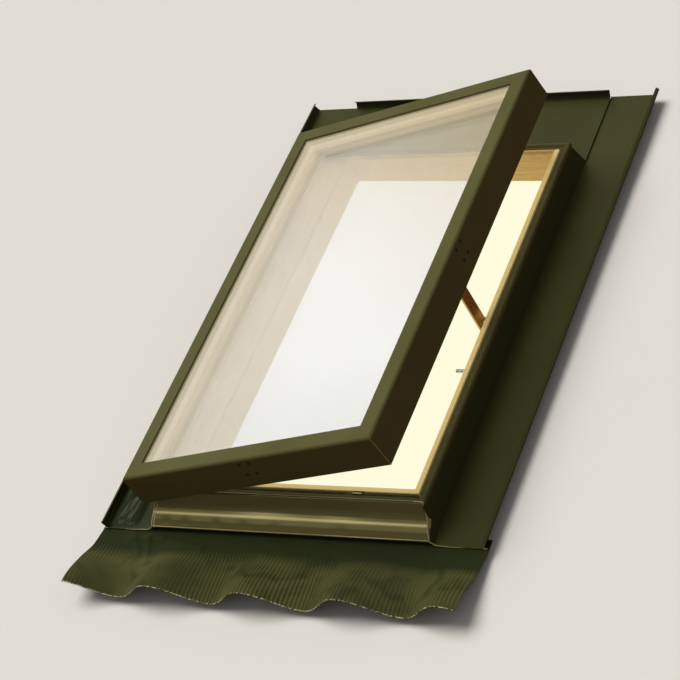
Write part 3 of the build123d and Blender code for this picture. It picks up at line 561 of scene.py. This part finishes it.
# Front moulding: distances outside the frame's edge line, and heights

EDGE_Y = 0.366                           # the frame's lower edge
WALL_TOP_X, WALL_BEND_Z, WALL_SLOPE = 0.2249, 0.0555, 0.22353
MOULD_PROFILE = ((-0.0105, 0.0602), (0.0004, 0.0602), (0.0036, 0.0566), (0.0066, 0.0506),
                 (0.0090, 0.0462), (0.0120, 0.0428), (0.0158, 0.0393), (0.0198, 0.0363),
                 (0.0232, 0.0341), (0.0300, 0.0290), (0.0373, 0.0220), (0.0373, 0.0196))
MOULD_BEND, BEND_STEPS = 0.0034, 8
MOULD_COLUMNS, MOULD_ROWS = 110, 62
WALL_CLEAR, TOP_HALF = 0.00105, 0.2137   # end gap to the walls, half length of the tucked flange
SHEET_T = 0.0008


def wall_x(z):
    """Outer face of the side walls at a height."""
    return WALL_TOP_X + max(WALL_BEND_Z - z, 0.0) * WALL_SLOPE


# Small dents and wide hollows: place along the moulding, height, depth, half width
DIMPLE_W, DIMPLE_H, HOLLOW_H = 0.006, 0.0035, 0.0045
DIMPLES = ((-0.205, 0.0265, 0.0014, DIMPLE_W), (-0.172, 0.0262, 0.0014, DIMPLE_W),
           (-0.118, 0.0270, 0.0010, DIMPLE_W), (-0.072, 0.0262, 0.0010, DIMPLE_W),
           (-0.02, 0.0262, 0.0008, DIMPLE_W), (0.09, 0.0265, 0.0007, DIMPLE_W))
HOLLOWS = ((-0.035, 0.0415, 0.0008, 0.055), (0.085, 0.0415, 0.0005, 0.040))
LIP_SAG, LIP_FROM, LIP_FULL = 0.0007, 0.030, 0.020       # the lip sags a little below this height


def pushed_in(x, z, dents, tall):
    """How far a set of dents pushes the moulding in at a place."""
    return sum(depth * math.exp(-(((x - place) / width) ** 2 + ((z - height) / tall) ** 2))
               for place, height, depth, width in dents)


def make_moulding():
    """Pressed front moulding with a turned-down lip and a few dents from handling; the hem on its
    lip is a separate bead.
    """
    profile = spaced(rounded(MOULD_PROFILE, MOULD_BEND, BEND_STEPS), MOULD_ROWS)
    piece = sheet_grid("front_moulding", MOULD_COLUMNS, MOULD_ROWS)
    for vertex in piece.data.vertices:
        out, z = profile[round((vertex.co.y + 0.5) * MOULD_ROWS)]
        half = wall_x(z) - WALL_CLEAR if out > 0 else TOP_HALF
        x = vertex.co.x * 2 * half
        dent = pushed_in(x, z, DIMPLES, DIMPLE_H) + pushed_in(x, z, HOLLOWS, HOLLOW_H)
        sag = LIP_SAG * step_up(LIP_FROM, LIP_FULL, z) * noise.noise(Vector((x * 14.0, 0.0, 2.0)))
        vertex.co = (x, -EDGE_Y - out + dent, z + sag)
    modified(piece, "SOLIDIFY", thickness=SHEET_T, offset=-1.0)
    smooth(piece, 50.0)
    settle(piece, "frame", "moulding", ["moulding_front"])


def bead(name, line, radius, body, finish):
    """Round bead or folded hem along a line of points."""
    curve = bpy.data.curves.new(name, "CURVE")
    curve.dimensions = "3D"
    curve.bevel_depth = radius
    curve.bevel_resolution = 3
    spline = curve.splines.new("POLY")
    spline.points.add(len(line) - 1)
    for point, place in zip(spline.points, line):
        point.co = (*place, 1.0)
    curve.use_fill_caps = True
    piece = bpy.data.objects.new(name, curve)
    bpy.context.scene.collection.objects.link(piece)
    only(piece)
    bpy.ops.object.convert(target="MESH")
    piece = bpy.context.object
    smooth(piece, 60.0)
    settle(piece, body, finish)


SEAM_R, SEAM_STEPS = 0.0012, 40
SEAMS = (("left", -1, 0.0016), ("left_inner", -1, 0.0056), ("right", 1, 0.0016))


def make_moulding_seams():
    """Folded seams where the moulding meets the side walls, pale as a painted highlight."""
    profile = spaced(rounded(MOULD_PROFILE[1:], MOULD_BEND, BEND_STEPS), SEAM_STEPS)
    for name, side, inset in SEAMS:
        line = [(side * (wall_x(z) - inset), -EDGE_Y - out, z) for out, z in profile]
        bead("moulding_seam_" + name, line, SEAM_R, "frame", "hem")


# Lines of the hems and beads at the front, then each with its radius, slot and finish
GUTTER_HEM = ((0.2285, -0.4038, 0.0224), (0.2325, -0.4044, 0.0196), (0.240, -0.4050, 0.0146),
              (0.262, -0.4056, 0.0140), (0.3185, -0.4052, 0.0138))
LIP_HEM = ((-0.2285, -0.4038, 0.0224), (0.0, -0.4039, 0.0224), (0.2285, -0.4038, 0.0224))
COVER_CREST = ((-0.222, -0.3670, 0.0636), (0.0, -0.3670, 0.0636), (0.2085, -0.3670, 0.0636))
# painted highlight at the lower cover's right corner
COVER_CORNER_HIGHLIGHT = ((0.2085, -0.3670, 0.0634), (0.2185, -0.3672, 0.0634), (0.2245, -0.3680, 0.0632))
CLIP_EDGE = ((0.1086, -0.3572, 0.0632), (0.1150, -0.3572, 0.0633), (0.1222, -0.3572, 0.0632))


LEFT_HEM = [(-x, y, z) for x, y, z in GUTTER_HEM]
FRONT_BEADS = (("hem_lip", LIP_HEM, 0.0009, "moulding", "hem"),
               ("hem_right", GUTTER_HEM, 0.0007, "flashing", "hem"),
               ("hem_left", LEFT_HEM, 0.0007, "flashing", "hem"),
               ("front_cover_bead", COVER_CREST, 0.0006, "frame_cover", "hem"),
               ("clip_edge", CLIP_EDGE, 0.0009, "bright_metal", "edge_painted_highlight"),
               ("front_cover_corner_highlight", COVER_CORNER_HIGHLIGHT, 0.0008, "frame_cover", "edge_painted_highlight"))


def make_front_beads():
    """Folded edges along the moulding's lip and the gutters, and the beads on the lower cover;
    their pale finishes are painted highlights.
    """
    for name, line, radius, slot, finish in FRONT_BEADS:
        bead(name, line, radius, "frame", finish)


# Lower left corner of the flashing: soft foil pressed into the gutter

FOIL_X = (-0.3135, -0.2372)
FOIL_Y = (-0.4035, -0.300)
FOIL_CELLS = 90
FOIL_THICK = 0.0006
FOIL_LIFT, FOIL_RISE, FOIL_LEAST = 0.0009, 0.0015, -0.0002
FOIL_BORDER = 0.16                       # share of its width that lies flat along each edge
FOLDS_END, FOLDS_FULL = -0.258, -0.272   # towards the moulding the foil is flat
FOIL_FOLDS = ((42.0, 0.0042), (110.0, 0.0007))   # how fine the creases are, and how high
FOLD_LEAN, FOLD_STRETCH, FOLD_SHARP = 0.10, 0.22, 2.4
GUTTER_Z = 0.013


def foil_folds(x, y):
    """Height of the sharp creases, which run along the gutter."""
    height = 0.0
    for scale, rise in FOIL_FOLDS:
        place = Vector(((x - FOLD_LEAN * y) * scale, y * scale * FOLD_STRETCH, scale))
        height += rise * (1.0 - FOLD_SHARP * abs(noise.noise(place)))
    return height


def make_foil_corner():
    piece = sheet_grid("gutter_foil", FOIL_CELLS, FOIL_CELLS)
    for vertex in piece.data.vertices:
        u, v = vertex.co.x + 0.5, vertex.co.y + 0.5
        x = FOIL_X[0] + u * (FOIL_X[1] - FOIL_X[0])
        y = FOIL_Y[0] + v * (FOIL_Y[1] - FOIL_Y[0])
        edge = min(u, 1 - u, v, 1 - v)
        free = step_up(0.0, FOIL_BORDER, edge)
        folds = (foil_folds(x, y) + FOIL_RISE) * step_up(FOLDS_END, FOLDS_FULL, x)
        vertex.co = (x, y, GUTTER_Z + FOIL_LIFT + free * max(folds, FOIL_LEAST))
    modified(piece, "SOLIDIFY", thickness=FOIL_THICK, offset=-1.0)
    smooth(piece, 24.0)
    settle(piece, "frame", "foil")


make_apron()
make_moulding()
make_moulding_seams()
make_front_beads()
make_foil_corner()


# Sash, in its closed place and as it stands open at rest

HINGE = Vector((-0.2344, 0.0, 0.0337))
SASH_LOW, SASH_HIGH = Vector((-0.23575, -0.3839, 0.0510)), Vector((0.23515, 0.3703, 0.1073))
FOLD_R, WIDE_FOLD = 0.0024, 0.0046
SHEET_IN, SHEET_DOWN = 0.0020, 0.0018    # inner edge of the cladding's fold, which stays
NEAR, MITRE_NEAR = 0.0001, 0.0003        # reach of a match between a vertex and an edge


def opened(place):
    """Where a place of the shut sash stands at rest, turned about its hinge."""
    across, up = place[0] - HINGE.x, place[2] - HINGE.z
    return Vector((HINGE.x + across * math.cos(TILT) - up * math.sin(TILT), place[1],
                   HINGE.z + across * math.sin(TILT) + up * math.cos(TILT)))


def closed(place):
    """Where a place of the open sash is when it is shut."""
    across, up = place[0] - HINGE.x, place[2] - HINGE.z
    return Vector((HINGE.x + across * math.cos(TILT) + up * math.sin(TILT), place[1],
                   HINGE.z - across * math.sin(TILT) + up * math.cos(TILT)))


def wide_fold(axis, sign):
    """Open out the fold between flange and skirt along one side, mitred ends too."""
    face = (SASH_LOW if sign < 0 else SASH_HIGH)[axis]
    length = 1 - axis
    grow = WIDE_FOLD / FOLD_R

    def reshape(co):
        shut = closed(co)
        inward = (face - shut[axis]) * sign
        down = SASH_HIGH.z - shut.z
        if inward > FOLD_R + NEAR or down > FOLD_R + NEAR:
            return
        if abs(inward - SHEET_IN) < NEAR and abs(down - SHEET_DOWN) < NEAR:
            return
        for end, way in ((SASH_LOW[length], -1), (SASH_HIGH[length], 1)):
            reach = (end - shut[length]) * way
            if abs(reach - inward) < MITRE_NEAR:
                shut[length] = end - way * inward * grow
        shut[axis] = face - sign * inward * grow
        shut.z = SASH_HIGH.z - down * grow
        co[:] = opened(shut)

    return reshape


# Lower and upper edge of the chamfer round the opening, edge of the right cover, and their steps
FOOT_X, TOP_X, COVER_EDGE_X = 0.2045, 0.2075, 0.2125
FOOT_Y, TOP_Y = -0.346, -0.349
FOOT_Z, TOP_Z = 0.0598, 0.0625
FOOT_STEP, TOP_STEP, COVER_STEP = 0.0022, 0.0040, 0.0011


def wide_right_strip(co):
    """Draw the chamfer of the opening's edge inward, for a wider strip of bare wood."""
    if abs(co.x - FOOT_X) < MITRE_NEAR and co.z > FOOT_Z:
        co.x -= FOOT_STEP
    elif abs(co.x - TOP_X) < MITRE_NEAR and co.z > TOP_Z:
        co.x -= TOP_STEP


def wide_bottom_strip(co):
    if abs(co.y - FOOT_Y) < MITRE_NEAR and co.z > FOOT_Z:
        co.y += FOOT_STEP
    elif abs(co.y - TOP_Y) < MITRE_NEAR and co.z > TOP_Z:
        co.y += TOP_STEP


def narrow_right_cover(co):
    if co.x < COVER_EDGE_X:
        co.x += COVER_STEP


# Places of the four holes of a group, from the skirt's middle and from its top
HOLES_ACROSS, HOLES_DOWN = (-0.009, 0.009), (0.0103, 0.0323)
SHADE_DISC_R, SHADE_DISC_T, SHADE_DISC_SET, SHADE_DISC_RIM, SHADE_DISC_DISH = 0.0029, 0.0014, 0.0005, 0.0006, 0.0004


def dished_disc(name):
    """Short cylinder with its outer end dished."""
    bpy.ops.object.select_all(action="DESELECT")
    bpy.ops.mesh.primitive_cylinder_add(vertices=20, radius=SHADE_DISC_R, depth=SHADE_DISC_T)
    piece = bpy.context.object
    piece.name = name
    bpy.ops.object.mode_set(mode="EDIT")
    bpy.ops.mesh.select_mode(type="FACE")
    bpy.ops.mesh.select_all(action="DESELECT")
    bpy.ops.object.mode_set(mode="OBJECT")
    for polygon in piece.data.polygons:
        polygon.select = polygon.normal.z > 0.9
    bpy.ops.object.mode_set(mode="EDIT")
    bpy.ops.mesh.inset(thickness=SHADE_DISC_RIM, depth=-SHADE_DISC_DISH)
    bpy.ops.object.mode_set(mode="OBJECT")
    return piece


def make_hole_shade_discs():
    """Dark dished discs in the two groups of holes in the skirts: painted shade inside the holes.
    """
    middle = (SASH_LOW + SASH_HIGH) / 2
    places = []
    for across in HOLES_ACROSS:
        for down in HOLES_DOWN:
            place = Vector((SASH_HIGH.x - SHADE_DISC_SET, middle.y + across, SASH_HIGH.z - down))
            places.append((Vector((1, 0, 0)), place))
    for across in HOLES_ACROSS:
        for down in HOLES_DOWN:
            place = Vector((middle.x + across, SASH_LOW.y + SHADE_DISC_SET, SASH_HIGH.z - down))
            places.append((Vector((0, -1, 0)), place))
    for number, (outward, place) in enumerate(places, 1):
        # painted shade: each disc darkens one hole
        piece = dished_disc("hole_plug_%d" % number)
        stand = outward.to_track_quat("Z", "Y")
        for vertex in piece.data.vertices:
            vertex.co = opened(stand @ vertex.co + place)
        smooth(piece, 30.0)
        settle(piece, "sash", "shade_disc")


SASH_SIDES = (("left", 0, -1), ("right", 0, 1), ("top", 1, 1), ("bottom", 1, -1))
TIMBERS = (("left", None), ("right", wide_right_strip), ("top", None),
           ("bottom", wide_bottom_strip))
SASH_EDGE, TIMBER_EDGE, COVER_EDGE = 0.0003, 0.0005, 0.0002
CORNER_HEIGHTS, CORNER_SET, CORNER_R = (0.1035, 0.0800, 0.0512), 0.0001, 0.0005


def make_corner_seam():
    """Seam down the sash's free lower corner, pale as a painted highlight."""
    x, y = SASH_HIGH.x - CORNER_SET, SASH_LOW.y + CORNER_SET
    line = [opened((x, y, z)) for z in CORNER_HEIGHTS]
    bead("sash_corner_seam", line, CORNER_R, "sash", "hem")


for side, axis, sign in SASH_SIDES:
    soft_edges("sash_cladding_" + side, SASH_EDGE, wide_fold(axis, sign))
for side, shape in TIMBERS:
    soft_edges("frame_timber_" + side, TIMBER_EDGE, shape)
soft_edges("cap_right", COVER_EDGE, narrow_right_cover)
make_hole_shade_discs()
make_corner_seam()

# ------------------------------------------------------------ floor and light


def floor_finish():
    """Pale to the camera; to all other rays brown, like the tiles round the real window."""
    finish = Finish("floor_pale")
    camera_ray = finish.node("ShaderNodeLightPath", out="Is Camera Ray")
    grain = finish.noise(3.0, 3.0)
    pale = finish.tint(grain * 0.2, linear(226, 224, 219), linear(220, 218, 212))
    base = finish.tint(camera_ray, linear(140, 88, 52), pale)
    return finish.surface(finish.principled(base_color=base, roughness=0.9))


UNGLAZED_X, UNGLAZED_Y = (0.04, 0.10), (0.235, 0.265)   # right and front strips seen past the sash
UPPER_HALF = (-0.25, -0.05)
ROOM_LOWER, ROOM_UPPER = (0.74, 0.73, 0.70, 1.0), (0.93, 0.91, 0.87, 1.0)
ROOM_CREAM = linear(255, 252, 221)


def room_finish():
    """The bright room below the opening: cream past the sash, a little duller under the glass."""
    finish = Finish("room_bright")
    open_side = finish.ramp(finish.axis("X"), *UNGLAZED_X)
    open_front = finish.ramp(-1.0 * finish.axis("Y"), *UNGLAZED_Y)
    bare = finish.node("ShaderNodeMath", {"operation": "MAXIMUM"}, [open_side, open_front])
    upper = finish.ramp(finish.axis("Y"), *UPPER_HALF)
    colour = finish.tint(bare, finish.tint(upper, ROOM_LOWER, ROOM_UPPER), ROOM_CREAM)
    return finish.surface(finish.node("ShaderNodeEmission", None,
                                      {"Color": colour, "Strength": 1.0}))


def plane(name, centre, size, finish):
    bpy.ops.object.select_all(action="DESELECT")
    bpy.ops.mesh.primitive_plane_add(size=1.0, location=centre)
    made = bpy.context.object
    made.name = name
    made.scale = (size[0], size[1], 1.0)
    bpy.ops.object.transform_apply(location=True, rotation=True, scale=True)
    made.data.materials.append(finish)
    return made


FLOOR_SIZE = 30.0
ROOM_LENGTH, ROOM_Z, ROOM_RISE = 0.692, 0.0006, 0.0125


def make_room():
    """Bright plane in the opening, between the left and right timbers, higher at its left edge."""
    left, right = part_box("frame_timber_left")[1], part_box("frame_timber_right")[0]
    room = plane("room_light", ((left.x + right.x) / 2, 0.0, ROOM_Z),
                 (right.x - left.x, ROOM_LENGTH), room_finish())
    for vertex in room.data.vertices:
        vertex.co.z += ROOM_RISE if vertex.co.x < 0 else 0.0


plane("floor", (0.0, 0.0, 0.0), (FLOOR_SIZE, FLOOR_SIZE), floor_finish())
make_room()

GLASS_MIRRORS = (-0.726, 0.595, 0.346)   # where the pane mirrors the sky to the camera
MOULDING_MIRRORS = (-0.484, -0.316, 0.815)
TOWARDS_EAVES = (-0.64, -0.77, 0.0)
SCREEN_EDGE, STRIP_EDGES, EAVES_EDGE = (20.0, 36.0), (4.0, 11.0), (-0.12, -0.01)
SKY_LIGHT, SKY_SEEN = 0.26, 0.95
SHEEN_ALL_ROUND = 0.14
SCREEN_POWER, EAVES_GAIN, STRIP_POWER = 1.18, 0.35, 6.0
SKY_PALE = (1.0, 0.985, 0.95, 1.0)
SCREEN_WARM, SCREEN_PALE = (1.0, 0.83, 0.54, 1.0), (1.0, 0.955, 0.875, 1.0)


def sky_finish(world):
    """Pale to the camera; to polished faces, a dim room with a bright screen and a strip light."""
    sky = Finish("sky", world)
    camera_ray = sky.node("ShaderNodeLightPath", out="Is Camera Ray")
    glossy_ray = sky.node("ShaderNodeLightPath", out="Is Glossy Ray")

    def facing(toward):
        return sky.node("ShaderNodeVectorMath", {"operation": "DOT_PRODUCT"},
                        [sky.place, toward], "Value")

    def bright_patch(toward, degrees):
        inner, outer = [math.cos(math.radians(angle)) for angle in degrees]
        return sky.ramp(facing(toward), outer, inner)

    screen = bright_patch(GLASS_MIRRORS, SCREEN_EDGE)
    strip = bright_patch(MOULDING_MIRRORS, STRIP_EDGES) * STRIP_POWER
    lower = sky.ramp(facing(TOWARDS_EAVES), *EAVES_EDGE)
    sheen = screen * (SCREEN_POWER + lower * EAVES_GAIN) + strip + SHEEN_ALL_ROUND
    unseen = glossy_ray * sheen + (1.0 - glossy_ray) * SKY_LIGHT
    strength = camera_ray * SKY_SEEN + (1.0 - camera_ray) * unseen
    warm = sky.tint(lower, SCREEN_WARM, SCREEN_PALE)
    colour = sky.tint(screen * glossy_ray, SKY_PALE, warm)
    return sky.surface(sky.node("ShaderNodeBackground", None,
                                {"Color": colour, "Strength": strength}))


bpy.context.scene.world = sky_finish(bpy.data.worlds.new("sky"))


SUN_PLACE = Vector((-1.3, 0.5, 3.0))
SUN_ENERGY, SUN_ANGLE, SUN_COLOUR = 2.6, 40.0, (1.0, 0.98, 0.94)


def make_sun():
    """One wide soft lamp from the upper left; polished faces reflect only the sky."""
    data = bpy.data.lights.new("key", "SUN")
    data.energy = SUN_ENERGY
    data.color = SUN_COLOUR
    data.angle = math.radians(SUN_ANGLE)
    made = bpy.data.objects.new("key", data)
    bpy.context.scene.collection.objects.link(made)
    made.location = SUN_PLACE
    made.rotation_euler = (-SUN_PLACE).to_track_quat("-Z", "Y").to_euler()
    made.visible_glossy = False


make_sun()

# --------------------------------------------------------------------- camera

EYE = Vector((1.690705, -2.170919, 2.340101))
RIGHT = Vector((0.8751144, 0.3353741, -0.3488539))
UP = Vector((-0.0078448, 0.7306346, 0.6827236))
BACK = Vector((0.4838525, -0.5947246, 0.6420198))
SENSOR, LENS = 36.0, 123.5594


def make_camera():
    """Camera at the place that the photograph's lines of the frame give."""
    data = bpy.data.cameras.new("camera")
    data.sensor_width = SENSOR
    data.lens = LENS
    camera = bpy.data.objects.new("camera", data)
    bpy.context.scene.collection.objects.link(camera)
    turn = Matrix((RIGHT, UP, BACK)).transposed()
    camera.matrix_world = Matrix.Translation(EYE) @ turn.to_4x4()
    bpy.context.scene.camera = camera


make_camera()
bpy.context.scene.view_settings.view_transform = "Standard"
